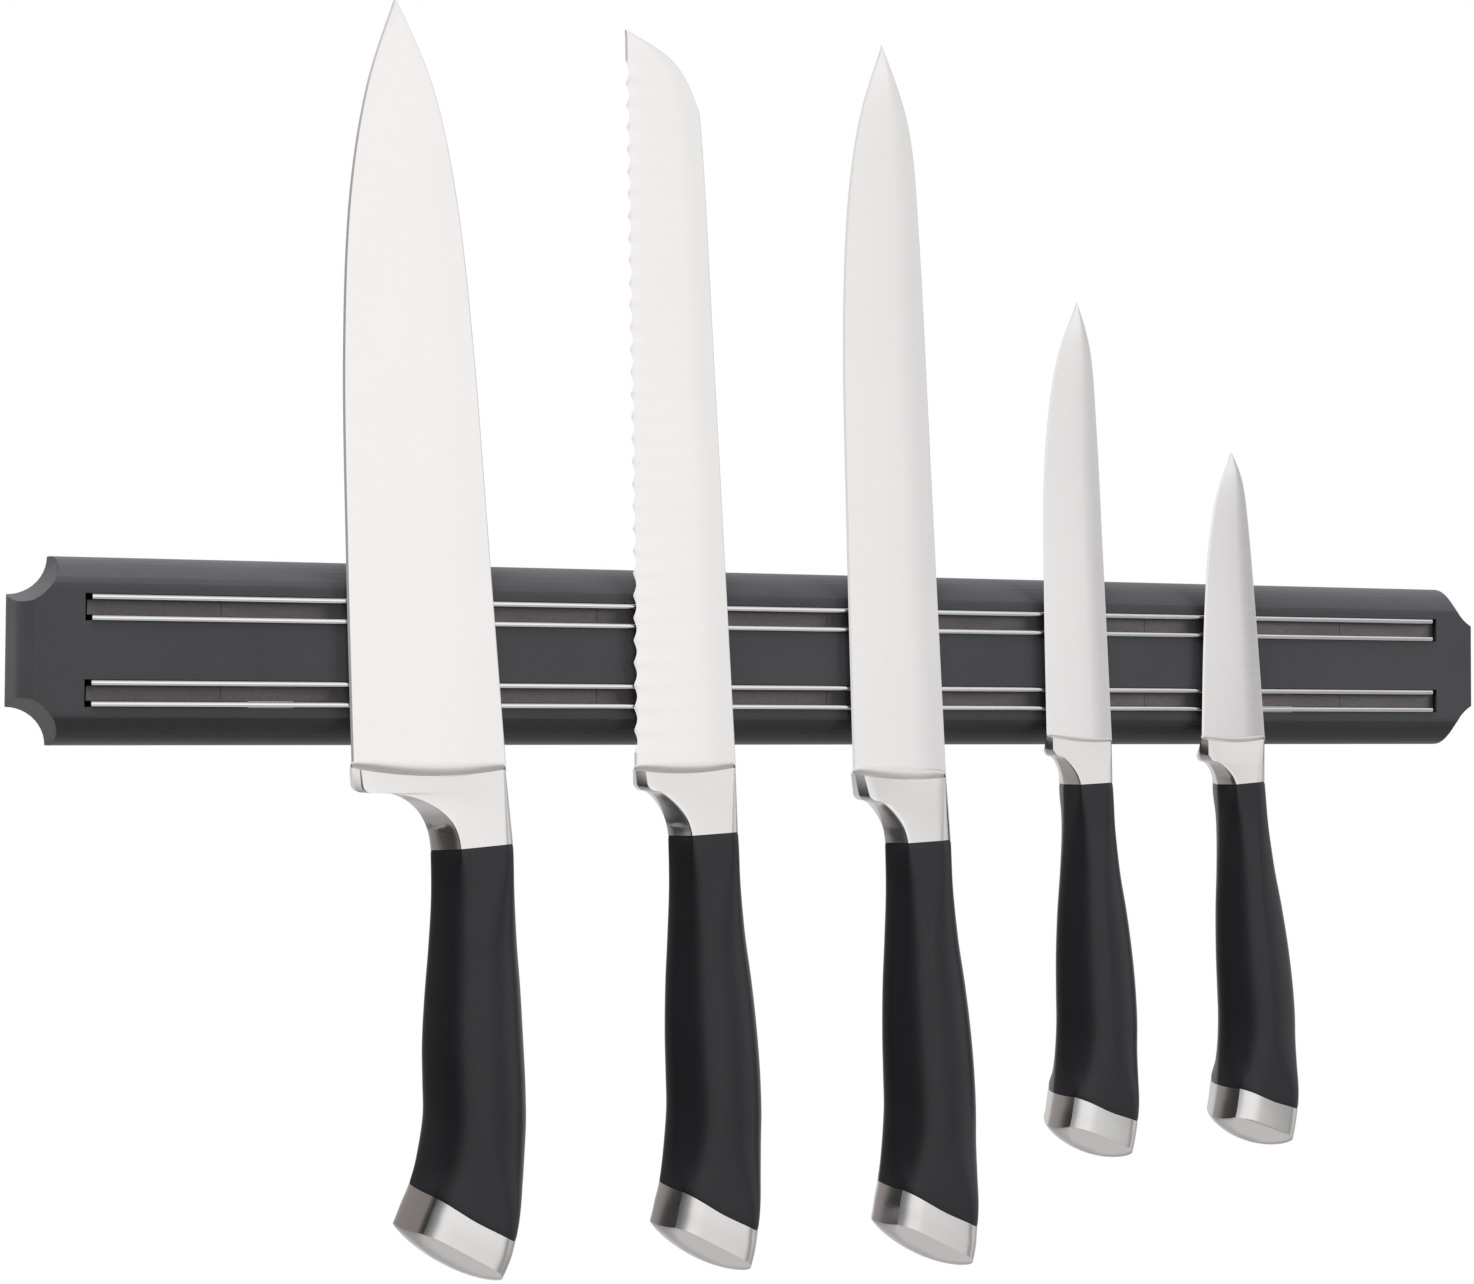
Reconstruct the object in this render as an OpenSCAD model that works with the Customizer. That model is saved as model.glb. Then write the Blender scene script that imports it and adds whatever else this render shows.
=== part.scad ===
// Magnetic knife rack for a wall, with the five knives it carries.
// Frame: X along the rack, Z up, the wall is the plane y = 0 and the user stands at -Y.
// The origin is the centre of the wall bracket's back face.

/* [Rack] */
// Length of the rack
rack_l = 432; // [420:1:460]
// Height of the rack
rack_h = 48; // [46:0.5:52]
// Depth from the wall to the front face
rack_t = 16.6; // [16:0.2:19]
// Depth of the straight skirt next to the wall
skirt_t = 2.8; // [2:0.2:4]
// Width of the rounded flank along the top and the bottom
flank_h = 7.3; // [6.5:0.1:7.5]
// Width of the sloped flank at each end
flank_end = 6.5; // [5:0.5:8]
// Radius of the scooped corner at the wall
notch_r_wall = 9.7; // [8:0.1:10]
// Radius of the scooped corner at the face
notch_r_face = 13.5; // [12:0.1:14]

/* [Rails and magnets] */
// Length of each steel rail
rail_l = 391; // [380:1:392]
// Thickness of each steel rail
rail_t = 1.5; // [1.2:0.1:1.8]
// Height of the outer rails above and below the centre line
rail_outer_z = 13.4; // [13:0.1:14]
// Height of the inner rails above and below the centre line
rail_inner_z = 8.1; // [7.8:0.1:8.4]
// How far the rails stand proud of the face
rail_proud = 0.6; // [0.4:0.1:0.8]
// How far the magnets lie below the face
magnet_recess = 1.4; // [1:0.1:2]
// How far each row of magnets runs on past the ends of its rails
magnet_over = 1.3; // [0:0.1:1.5]
// Number of magnet blocks in each row
magnet_count = 12; // [8:1:16]

/* [Wall fixing] */
// Distance between the two wall screws
screw_spacing = 300; // [290:10:310]
// Distance between the two hooks of the wall bracket
hook_spacing = 180; // [160:10:200]
// Outer radius of a wall plug
plug_r = 3; // [2.5:0.5:4]
// Depth of a wall plug in the wall
plug_l = 30; // [25:1:40]

/* [Knives] */
// Thickness of a blade at its spine
blade_t = 2.2; // [1.8:0.1:2.6]
// Gap between a blade and the rails
blade_gap = 0.15; // [0.1:0.05:0.3]
// Pitch of the scallops on the bread knife
scallop_pitch = 6; // [5:0.5:8]
// Depth of the scallops on the bread knife
scallop_depth = 0.9; // [0.5:0.1:1.2]
// Half thickness of the largest handles at the butt
grip_half_t = 11.2; // [10:0.1:12]
// How far the domed end of a butt cap bulges
dome_rise = 3.2; // [1.5:0.1:4]
// How far the seam of a butt cap dips towards the belly
seam_dip = 1.5; // [0:0.5:5]
// How far the rim of a butt cap is drawn up on both faces
rim_rise = 3.2; // [0:0.2:5]

/* [Hidden] */

$fn = 48;
eps = 0.01;

// Outside of the rack: the arc of the flanks, and where the end flanks bend, as shares of width and depth
flank_arc = 80;
flank_steps = 8;
end_bend = [0.42, 0.6];

// Rack interior
wall = 3.2;
end_wall = 16;
side_wall = 4.5;
cavity_x = rack_l / 2 - end_wall;
cavity_z = rack_h / 2 - side_wall;
cover_t = 1.6;
cover_y = -1.9;
cover_gap = 0.15;
rail_back_y = -8;
magnet_z = (rail_outer_z + rail_inner_z) / 2;
magnet_gap = 0.1;
rib_h = 3.2;
slot_end = 1.6;
slot_gap = 0.05;
boss_x = [-186, -60, 60, 186];
boss_r = 3.2;
pilot_r = 1.15;
pilot_l = 13;
screw_core_r = 1.1;
screw_r = 1.5;
screw_l = 10;
screw_head_r = 2.7;
screw_head_t = 1.1;
screw_clear = 0.1;
rib_spans = [[-194, -182], [-166, -114], [-66, 66], [114, 166], [182, 194]];

// Wall bracket
bracket_l = 340;
bracket_h = 16;
bracket_t = 1.6;
hook_w = 20;
hook_z = 10;
hook_top = 18;
hook_reach = 5.3;
leaf_t = 1.4;
window_w = 24;
window_low = 1;
hook_rest = 0.05;
bracket_hole_r = 3.1;
wall_screw_r = 2;
wall_screw_l = 28;
wall_tip_l = 6;
wall_tip_r = 0.4;
wall_head_r = 4.4;
wall_head_top_r = 3.2;
wall_head_t = 2.2;
head_window = [12, 22];
head_window_top = 7;
plug_clear = 0.02;
plug_floor = 2;
slit_w = 1;
slit_from = 12;

// Knives: the plane that every blade lies in
blade_y = -rack_t - rail_proud - blade_gap - blade_t / 2;
ring_n = 28;
corner_n = 2.7;
tang_w = 4;
tang_t = 0.9;
tang_clear = 0.12;
tang_root = 0.3;
pocket_l = 4;
pocket_clear = 0.4;

// Domed ends of the butt caps: fullness, and shares of the width that the rings lie at
dome_shape = 0.8;
dome_shares = [0.95, 0.84, 0.66, 0.4];

// Bolsters: height of the lip over the blade, and where the rings of the scooped underside lie
lip_t = 1.5;
scoop_shares = [0.02, 0.08, 0.2, 0.4, 0.7, 1];

// Length of the bread knife's edge that is scalloped, and how sharp its teeth are
scallop_span = [6, 192];
tooth = 1.2;

// Grinding of the blades: where it starts, as a share of the width or the length, and half thicknesses
grind_start = 0.25;
edge_half = 0.2;
taper_start = 0.4;
tip_half = 0.55;

// What describes a knife. Depths run down from the spine end of the fold line, centres and widths
// run from the spine towards the cutting edge, and a half width is half of the handle's oval.
// The fold is the slope of the line where the blade meets its bolster, and the scoop is the
// roundness of the bolster's underside.
PLACE = 0;
LEAN = 1;
NECK_DEPTH = 2;
HEEL_DEPTH = 3;
BUTT_DEPTH = 4;
NECK_HALF = 5;
BELLY_HALF = 6;
BUTT_HALF = 7;
NECK_CENTRE = 8;
BELLY_CENTRE = 9;
BUTT_CENTRE = 10;
BUTT_SLANT = 11;
THICKNESS = 12;
FOLD = 13;
SCOOP = 14;
CHEF = [[-90.8, -30.6], 4.96, 18.5, 1.9, 121.9, 10.3, 13.6, 15.4, 11.1, 14.9, 26.2, 38, 1, 5.5, 2.4];
BREAD = [[-27.6, -30.1], 3.5, 16.7, 4.2, 126.5, 8.95, 13.2, 14.3, 10.9, 11, 18.6, 35, 0.98, 2, 1.7];
CARVING = [[34.2, -32.7], 3.2, 17.1, 5, 127.7, 8.7, 13.3, 14.6, 10.2, 9.6, 15.9, 33, 0.98, 5, 1.8];
UTILITY = [[85.8, -22.8], 3.05, 11.4, 3.3, 112.8, 6.4, 11.9, 11.8, 9.15, 8.9, 15, 28, 0.92, 6.5, 1.7];
PARING = [[135.9, -22.8], 4.6, 11.3, 4.5, 112.3, 6.4, 11.5, 11.3, 9.9, 9.3, 15.8, 28, 0.9, 4, 1.7];

// Outlines: cutting edge and spine, each from the heel to the tip, as [length, depth below the spine]
CHEF_EDGE = [[0, 40.3], [60, 37.3], [110, 34.2], [150, 29.7], [180, 22.9], [203.8, 13.5]];
CHEF_SPINE = [[0, 0], [60, 0], [110, 0], [150, 1.3], [180, 5.3], [203.8, 13.5]];
BREAD_EDGE = [[0, 28.3], [70, 25.1], [140, 22.4], [200.5, 20]];
BREAD_SPINE = [[0, 0], [100, 0], [168, 0], [182, 1.5], [192.5, 7.4], [200.5, 20]];
CARVING_EDGE = [[0, 27.5], [70, 25.9], [120, 24.3], [157, 21.3], [184, 16.2], [205.3, 8.3]];
CARVING_SPINE = [[0, 0], [80, 0], [150, 0], [182, 1.5], [205.3, 8.3]];
UTILITY_EDGE = [[0, 20.2], [45, 18.8], [80, 16.8], [108, 11.9], [126.5, 4.1]];
UTILITY_SPINE = [[0, 0], [50, 0], [90, 0], [112, 0.7], [126.5, 4.1]];
PARING_EDGE = [[0, 20.6], [30, 17.6], [55, 14.2], [72, 10.1], [85.5, 3.8]];
PARING_SPINE = [[0, 0], [30, 0], [60, 0.1], [76, 0.9], [85.5, 3.8]];

function mix(a, b, t) = a + (b - a) * t;

function signed_power(x, p) = sign(x) * pow(abs(x), p);

// Smooth curve through a list of points, steps pieces between neighbours
function curve(points, steps) =
    let (last = len(points) - 1)
    [
        for (i = [0:last - 1])
            let (
                p0 = points[max(i - 1, 0)],
                p1 = points[i],
                p2 = points[i + 1],
                p3 = points[min(i + 2, last)]
            )
            for (s = [0:steps - 1])
                let (t = s / steps)
                0.5 * (2 * p1 + (p2 - p0) * t + (2 * p0 - 5 * p1 + 4 * p2 - p3) * t * t
                    + (3 * p1 - p0 - 3 * p2 + p3) * t * t * t),
        points[last]
    ];

function reversed(list) = [for (i = [len(list) - 1:-1:0]) list[i]];

// ---- Rack ----

// Half of the rack's cross-section as [z, y], from the skirt over the rounded flank to the face
function flank_points() =
    [
        for (i = [0:flank_steps])
            let (a = flank_arc * i / flank_steps)
            [
                rack_h / 2 - flank_h * (1 - cos(a)) / (1 - cos(flank_arc)),
                -skirt_t - (rack_t - skirt_t) * sin(a) / sin(flank_arc)
            ]
    ];

module rack_section() {
    half = flank_points();
    other = [for (p = half) [-p[0], p[1]]];
    polygon(concat([[-rack_h / 2, 0], [rack_h / 2, 0]], half, reversed(other)));
}

module rack_plan() {
    end = rack_l / 2;
    bend = [end - flank_end * end_bend[0], -mix(skirt_t, rack_t, end_bend[1])];
    polygon([
        [-end, 0], [end, 0],
        [end, -skirt_t], bend, [end - flank_end, -rack_t],
        [-end + flank_end, -rack_t], [-bend[0], bend[1]], [-end, -skirt_t]
    ]);
}

module corner_notches() {
    slope = (notch_r_face - notch_r_wall) / rack_t;
    for (sx = [-1, 1], sz = [-1, 1])
        translate([sx * rack_l / 2, 1, sz * rack_h / 2])
            rotate([90, 0, 0])
                cylinder(
                    h = rack_t + 2,
                    r1 = notch_r_wall - slope,
                    r2 = notch_r_face + slope,
                    $fn = 96
                );
}

module rail_slots() {
    slot_x = rail_l / 2 + slot_end;
    low = rail_inner_z - rail_t / 2 - slot_gap;
    high = rail_outer_z + rail_t / 2 + slot_gap;
    for (side = [-1, 1])
        translate([-slot_x, -rack_t - 1, side > 0 ? low : -high])
            cube([2 * slot_x, wall + 2, high - low]);
}

module screw_bosses() {
    for (x = boss_x)
        translate([x, cover_y - cover_t, 0])
            rotate([90, 0, 0])
                cylinder(h = rack_t - wall / 2 + cover_y - cover_t, r = boss_r);
}

module pilot_holes() {
    for (x = boss_x)
        translate([x, 0, 0])
            rotate([90, 0, 0])
                cylinder(h = pilot_l, r = pilot_r);
}

module front_housing() {
    color("#46474c")
        difference() {
            union() {
                difference() {
                    intersection() {
                        translate([-rack_l / 2, 0, 0])
                            rotate([0, 90, 0])
                                linear_extrude(rack_l) rack_section();
                        translate([0, 0, -rack_h / 2])
                            linear_extrude(rack_h) rack_plan();
                    }
                    corner_notches();
                    translate([-cavity_x, -rack_t + wall, -cavity_z])
                        cube([2 * cavity_x, rack_t, 2 * cavity_z]);
                    rail_slots();
                }
                screw_bosses();
            }
            pilot_holes();
        }
}

module rear_cover() {
    low = -cavity_z + cover_gap;
    half_x = cavity_x - cover_gap;
    color("#2c2d30")
        difference() {
            union() {
                translate([-half_x, cover_y - cover_t, low])
                    cube([2 * half_x, cover_t, -2 * low]);
                for (span = rib_spans, side = [-1, 1])
                    translate([span[0], rail_back_y + slot_gap, side * magnet_z - rib_h / 2])
                        cube([span[1] - span[0], cover_y - cover_t - rail_back_y, rib_h]);
            }
            for (side = [-1, 1]) {
                translate([side * hook_spacing / 2 - window_w / 2, -rack_t, window_low])
                    cube([window_w, rack_t, hook_z + bracket_t + hook_rest - window_low]);
                translate([side * screw_spacing / 2, -rack_t / 2, head_window_top - head_window[1] / 2])
                    cube([head_window[0], rack_t, head_window[1]], center = true);
            }
            for (x = boss_x)
                translate([x, cover_y, 0])
                    rotate([90, 0, 0])
                        union() {
                            translate([0, 0, -1]) cylinder(h = cover_t + 2, r = screw_r + screw_clear);
                            translate([0, 0, -eps])
                                cylinder(
                                    h = screw_head_t,
                                    r1 = screw_head_r + screw_clear,
                                    r2 = screw_r + screw_clear
                                );
                        }
        }
}

// Cross recess in the head of a screw
module cross_recess(reach, width, depth) {
    for (turn = [0, 90])
        rotate(turn)
            translate([-reach, -width / 2, -eps])
                cube([2 * reach, width, depth]);
}

module cover_screws() {
    color("#8f9295")
        for (x = boss_x)
            translate([x, cover_y, 0])
                rotate([90, 0, 0])
                    difference() {
                        union() {
                            cylinder(h = screw_head_t, r1 = screw_head_r, r2 = screw_r);
                            cylinder(h = cover_t, r = screw_r);
                            cylinder(h = screw_l, r = screw_core_r);
                        }
                        cross_recess(screw_r, screw_r / 2.5, screw_head_t / 2);
                    }
}

module rail(z) {
    nose = rail_t / 2;
    front = -rack_t - rail_proud;
    color("#dcdfe2")
        translate([-rail_l / 2, 0, z])
            rotate([0, 90, 0])
                linear_extrude(rail_l)
                    union() {
                        translate([-nose, front + nose]) square([rail_t, rail_back_y - front - nose]);
                        translate([0, front + nose]) circle(r = nose);
                    }
}

module upper_rail_top() { rail(rail_outer_z); }
module upper_rail_bottom() { rail(rail_inner_z); }
module lower_rail_top() { rail(-rail_inner_z); }
module lower_rail_bottom() { rail(-rail_outer_z); }

module magnet_row(side) {
    length = rail_l + 2 * magnet_over;
    pitch = length / magnet_count;
    block = [
        pitch - magnet_gap,
        rack_t - magnet_recess + rail_back_y,
        rail_outer_z - rail_inner_z - rail_t - 2 * slot_gap
    ];
    color("#5a5455")
        for (i = [0:magnet_count - 1])
            translate([
                -length / 2 + i * pitch + magnet_gap / 2,
                rail_back_y - block[1],
                side * magnet_z - block[2] / 2
            ])
                cube(block);
}

module upper_magnets() { magnet_row(1); }
module lower_magnets() { magnet_row(-1); }

// ---- Wall fixing ----

module wall_bracket() {
    color("#b9bcbf")
        difference() {
            union() {
                translate([-bracket_l / 2, -bracket_t, -bracket_h / 2])
                    cube([bracket_l, bracket_t, bracket_h]);
                for (side = [-1, 1])
                    translate([side * hook_spacing / 2 - hook_w / 2, 0, 0]) {
                        translate([0, -bracket_t, 0]) cube([hook_w, bracket_t, hook_z + bracket_t]);
                        translate([0, -hook_reach, hook_z]) cube([hook_w, hook_reach, bracket_t]);
                        translate([0, -hook_reach, hook_z]) cube([hook_w, leaf_t, hook_top - hook_z]);
                    }
            }
            for (side = [-1, 1])
                translate([side * screw_spacing / 2, 1, 0])
                    rotate([90, 0, 0])
                        cylinder(h = bracket_t + 2, r = bracket_hole_r);
        }
}

module wall_screws() {
    color("#c4c7ca")
        for (side = [-1, 1])
            translate([side * screw_spacing / 2, -bracket_t, 0])
                rotate([-90, 0, 0])
                    difference() {
                        union() {
                            translate([0, 0, -wall_head_t])
                                cylinder(h = wall_head_t, r1 = wall_head_top_r, r2 = wall_head_r);
                            cylinder(h = wall_screw_l - wall_tip_l, r = wall_screw_r);
                            translate([0, 0, wall_screw_l - wall_tip_l])
                                cylinder(h = wall_tip_l, r1 = wall_screw_r, r2 = wall_tip_r);
                        }
                        translate([0, 0, -wall_head_t])
                            cross_recess(wall_screw_r, wall_screw_r / 2.5, wall_head_t / 2);
                    }
}

module wall_plugs() {
    color("#a9acb0")
        for (side = [-1, 1])
            translate([side * screw_spacing / 2, 0, 0])
                rotate([-90, 0, 0])
                    difference() {
                        cylinder(h = plug_l, r = plug_r);
                        translate([0, 0, -eps])
                            cylinder(h = plug_l - plug_floor, r = wall_screw_r + plug_clear);
                        for (turn = [0, 90])
                            rotate(turn)
                                translate([-slit_w / 2, -plug_r - 1, slit_from])
                                    cube([slit_w, 2 * plug_r + 2, plug_l]);
                    }
}

// ---- Knives ----
// A knife is drawn in its own frame: the origin is the spine end of the bolster's top edge,
// +Z runs along the spine to the tip, -X points to the cutting edge, Y is the thickness.

module place(knife) {
    translate([knife[PLACE][0], blade_y, knife[PLACE][1]])
        rotate([0, -knife[LEAN], 0])
            children();
}

// Cross-section of the handle: a soft-cornered oval, tilted by slant across the knife. It dips at the
// cutting edge's side by dip and rises on both faces by rise, square to its own plane.
function oval(depth, centre, half_w, half_t, slant, dip = 0, rise = 0) =
    [
        for (i = [0:ring_n - 1])
            let (
                a = 360 * i / ring_n,
                across = signed_power(cos(a), 2 / corner_n),
                thick = signed_power(sin(a), 2 / corner_n),
                belly = max(across, 0),
                lift = rise * thick * thick - dip * belly * belly * (3 - 2 * belly) * (1 - thick * thick)
            )
            [
                -centre - half_w * across * cos(slant) + lift * sin(slant),
                half_t * thick,
                -depth + half_w * across * sin(slant) + lift * cos(slant)
            ]
    ];

// The rectangle that the tang fills, with as many points as the oval around it
function slot(depth, centre, half_w, half_t, slant) =
    [
        for (i = [0:ring_n - 1])
            let (
                a = 360 * i / ring_n,
                reach = max(abs(cos(a)), abs(sin(a))),
                across = half_w * cos(a) / reach,
                thick = half_t * sin(a) / reach
            )
            [-centre - across * cos(slant), thick, -depth + across * sin(slant)]
    ];

// Stations of the handle, from the neck to the butt:
// [share of the length, pull to the belly's centre, pull to the butt's centre,
//  growth from neck to belly width, growth from belly to butt width, slant, thickness,
//  share of the seam's dip, share of the rim's rise]
STATIONS = [
    [0, 0, 0, 0, 0, 0, 0.68, 0, 0],
    [0.12, 0.14, 0, 0.1, 0, 0, 0.73, 0, 0],
    [0.24, 0.35, 0, 0.36, 0, 0, 0.79, 0, 0],
    [0.36, 0.6, 0, 0.66, 0, 0.03, 0.85, 0, 0],
    [0.485, 0.85, 0, 0.87, 0, 0.13, 0.91, 0, 0],
    [0.6, 0.96, 0.01, 0.97, 0, 0.28, 0.96, 0, 0],
    [0.7, 0.93, 0.07, 1, 0.05, 0.47, 0.98, 0.23, 0],
    [0.82, 0.7, 0.3, 1, 0.4, 0.79, 1, 0.77, 0],
    [0.9, 0.47, 0.53, 1, 0.84, 0.96, 1.01, 1, 0],
    [0.95, 0.25, 0.75, 1, 1, 0.98, 1.01, 0.5, 0.5],
    [1, 0, 1, 1, 0.95, 0.95, 1, 0, 1]
];
seam_station = 8;

function station_depth(knife, s) = mix(knife[NECK_DEPTH], knife[BUTT_DEPTH], s[0]);

function station_centre(knife, s) =
    knife[NECK_CENTRE] * (1 - s[1] - s[2]) + knife[BELLY_CENTRE] * s[1] + knife[BUTT_CENTRE] * s[2];

function station_slant(knife, s) = knife[BUTT_SLANT] * s[5];

function station_ring(knife, s, inner = false) =
    let (
        depth = station_depth(knife, s),
        centre = station_centre(knife, s),
        belly = mix(knife[NECK_HALF], knife[BELLY_HALF], s[3]),
        half_w = belly + (knife[BUTT_HALF] - knife[BELLY_HALF]) * s[4],
        half_t = grip_half_t * knife[THICKNESS] * s[6],
        slant = station_slant(knife, s)
    )
    inner
        ? slot(depth, centre, tang_w + tang_clear, tang_t + tang_clear, slant)
        : oval(depth, centre, half_w, half_t, slant, seam_dip * s[7], rim_rise * s[8]);

// Middle of a ring of points
function mean(ring) = [for (p = ring) 1 / len(ring)] * ring;

// Solid from a list of rings. A closed loop of rings makes a tube; otherwise both ends are capped.
// The facets between two rings are split along one diagonal or, if crossed, along the other.
module skin(rings, loop = false, crossed = false) {
    count = len(rings);
    bands = loop ? count : count - 1;
    points = [for (ring = rings) for (p = ring) p];
    sides = [
        for (r = [0:bands - 1], i = [0:ring_n - 1])
            let (
                a = r * ring_n,
                b = ((r + 1) % count) * ring_n,
                j = (i + 1) % ring_n
            )
            each crossed
                ? [[a + i, a + j, b + i], [a + j, b + j, b + i]]
                : [[a + i, a + j, b + j], [a + i, b + j, b + i]]
    ];
    middles = loop ? [] : [mean(rings[0]), mean(rings[count - 1])];
    first = len(points);
    ends = loop ? [] : [
        for (i = [0:ring_n - 1])
            let (j = (i + 1) % ring_n)
            each [[j, i, first], [(count - 1) * ring_n + i, (count - 1) * ring_n + j, first + 1]]
    ];
    polyhedron(concat(points, middles), concat(sides, ends));
}

// Bolster: as wide as the blade along the fold line, then a scooped underside down to the grip's neck
function bolster_ring(knife, heel_w, share) =
    let (
        top = knife[HEEL_DEPTH] / knife[NECK_DEPTH],
        fall = max(share - top, 0) / (1 - top),
        run = pow(1 - pow(1 - fall, knife[SCOOP]), 1 / knife[SCOOP]),
        high = mix(heel_w, knife[NECK_CENTRE] + knife[NECK_HALF], run),
        low = mix(0, knife[NECK_CENTRE] - knife[NECK_HALF], share),
        half_w = (high - low) / 2,
        thin = blade_t / 2 + lip_t,
        thick = grip_half_t * knife[THICKNESS] * STATIONS[0][6],
        slant = share == 0 ? knife[FOLD] : 0
    )
    oval(
        share * knife[NECK_DEPTH] - half_w * tan(slant),
        (low + high) / 2,
        half_w / cos(slant),
        mix(thin, thick, share),
        slant
    );

module bolster(knife, heel_w) {
    top = knife[HEEL_DEPTH] / knife[NECK_DEPTH];
    shares = concat([0, top], [for (fall = scoop_shares) mix(top, 1, fall)]);
    centre = knife[NECK_CENTRE];
    fold = knife[FOLD];
    hole_w = tang_w + tang_clear;
    hole_t = tang_t + tang_clear;
    color("#b9bbbd")
        place(knife)
            skin(
                concat(
                    [for (share = shares) bolster_ring(knife, heel_w, share)],
                    [
                        slot(knife[NECK_DEPTH], centre, hole_w, hole_t, 0),
                        slot(-centre * tan(fold), centre, hole_w / cos(fold), hole_t, fold)
                    ]
                ),
                loop = true
            );
}

module grip(knife) {
    color("#26262a")
        place(knife)
            skin(
                concat(
                    [for (i = [0:seam_station]) station_ring(knife, STATIONS[i])],
                    [
                        station_ring(knife, STATIONS[seam_station], inner = true),
                        station_ring(knife, STATIONS[0], inner = true)
                    ]
                ),
                loop = true
            );
}

// Ring of the cap's domed end: the butt ring drawn in to a share of its width and pushed out
function dome_ring(knife, share) =
    let (
        last = STATIONS[len(STATIONS) - 1],
        centre = [-knife[BUTT_CENTRE], 0, -knife[BUTT_DEPTH]],
        slant = station_slant(knife, last),
        out = [-sin(slant), 0, -cos(slant)],
        bulge = dome_rise * pow(1 - share * share, dome_shape)
    )
    [
        for (p = station_ring(knife, last))
            let (level = (p - centre) * out)
            centre + share * (p - centre - level * out) + (share * share * level + bulge) * out
    ];

module butt_cap(knife) {
    first = STATIONS[seam_station];
    mouth = station_ring(knife, first, inner = true);
    slant = station_slant(knife, first);
    color("#b4b6b8")
        place(knife)
            skin(
                concat(
                    [[for (p = mouth) p + pocket_l * [-sin(slant), 0, -cos(slant)]], mouth],
                    [for (i = [seam_station:len(STATIONS) - 1]) station_ring(knife, STATIONS[i])],
                    [for (share = dome_shares) dome_ring(knife, share)]
                ),
                crossed = true
            );
}

// Tang: a straight bar from the fold line through bolster and grip into the butt cap's pocket
module tang(knife) {
    seam = STATIONS[seam_station];
    slant = station_slant(knife, seam);
    centre = knife[NECK_CENTRE];
    fold = knife[FOLD];
    end = [-station_centre(knife, seam), -station_depth(knife, seam)];
    across = tang_w * [cos(slant), -sin(slant)];
    past = (pocket_l - pocket_clear) * [sin(slant), cos(slant)];
    rotate([90, 0, 0])
        linear_extrude(2 * tang_t, center = true)
            polygon([
                [-centre - tang_w, (centre + tang_w) * tan(fold) + tang_root],
                [-centre - tang_w, -knife[NECK_DEPTH]],
                end - across,
                end - across - past,
                end + across - past,
                end + across,
                [-centre + tang_w, -knife[NECK_DEPTH]],
                [-centre + tang_w, (centre - tang_w) * tan(fold) + tang_root]
            ]);
}

// Scalloped cutting edge: round hollows between sharp teeth, along a smooth edge curve
function scalloped(edge, from, to) =
    [
        for (p = edge)
            let (
                inside = p[0] > from && p[0] < to,
                phase = (p[0] - from) / scallop_pitch,
                hollow = scallop_depth * pow(abs(sin(180 * phase)), tooth)
            )
            [p[0], p[1] - (inside ? hollow : 0)]
    ];

function dense(edge, step) =
    [
        for (i = [0:len(edge) - 2])
            let (
                gap = edge[i + 1][0] - edge[i][0],
                parts = max(round(gap / step), 1)
            )
            for (k = [0:parts - 1]) edge[i] + (edge[i + 1] - edge[i]) * k / parts,
        edge[len(edge) - 1]
    ];

// Blade ground thin towards the edge and towards the tip, in one piece with its tang
module blade(knife, edge, spine) {
    length = spine[len(spine) - 1][0];
    width = edge[0][1];
    heel = [width * tan(knife[FOLD]), width];
    sharp = [for (p = edge) if (p[0] > heel[0] + 1 && p[0] < length) p];
    outline = concat(spine, reversed(sharp), [heel]);
    half = blade_t / 2;
    color("#e6e8ea")
        place(knife)
            union() {
                intersection() {
                    rotate([90, 0, 0])
                        linear_extrude(2 * blade_t, center = true)
                            polygon([for (p = outline) [-p[1], p[0]]]);
                    linear_extrude(length + 1)
                        polygon([
                            [1, -half], [-width * grind_start, -half], [-width - 1, -edge_half],
                            [-width - 1, edge_half], [-width * grind_start, half], [1, half]
                        ]);
                    rotate([0, -90, 0])
                        linear_extrude(3 * width, center = true)
                            polygon([
                                [-1, -half], [length * taper_start, -half], [length + 1, -tip_half],
                                [length + 1, tip_half], [length * taper_start, half], [-1, half]
                            ]);
                }
                tang(knife);
            }
}

module chef_blade() { blade(CHEF, curve(CHEF_EDGE, 5), curve(CHEF_SPINE, 5)); }
module chef_bolster() { bolster(CHEF, CHEF_EDGE[0][1]); }
module chef_grip() { grip(CHEF); }
module chef_butt_cap() { butt_cap(CHEF); }

module bread_blade() {
    edge = scalloped(dense(curve(BREAD_EDGE, 6), scallop_pitch / 6), scallop_span[0], scallop_span[1]);
    blade(BREAD, edge, curve(BREAD_SPINE, 4));
}
module bread_bolster() { bolster(BREAD, BREAD_EDGE[0][1]); }
module bread_grip() { grip(BREAD); }
module bread_butt_cap() { butt_cap(BREAD); }

module carving_blade() { blade(CARVING, curve(CARVING_EDGE, 5), curve(CARVING_SPINE, 5)); }
module carving_bolster() { bolster(CARVING, CARVING_EDGE[0][1]); }
module carving_grip() { grip(CARVING); }
module carving_butt_cap() { butt_cap(CARVING); }

module utility_blade() { blade(UTILITY, curve(UTILITY_EDGE, 5), curve(UTILITY_SPINE, 5)); }
module utility_bolster() { bolster(UTILITY, UTILITY_EDGE[0][1]); }
module utility_grip() { grip(UTILITY); }
module utility_butt_cap() { butt_cap(UTILITY); }

module paring_blade() { blade(PARING, curve(PARING_EDGE, 5), curve(PARING_SPINE, 5)); }
module paring_bolster() { bolster(PARING, PARING_EDGE[0][1]); }
module paring_grip() { grip(PARING); }
module paring_butt_cap() { butt_cap(PARING); }

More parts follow.
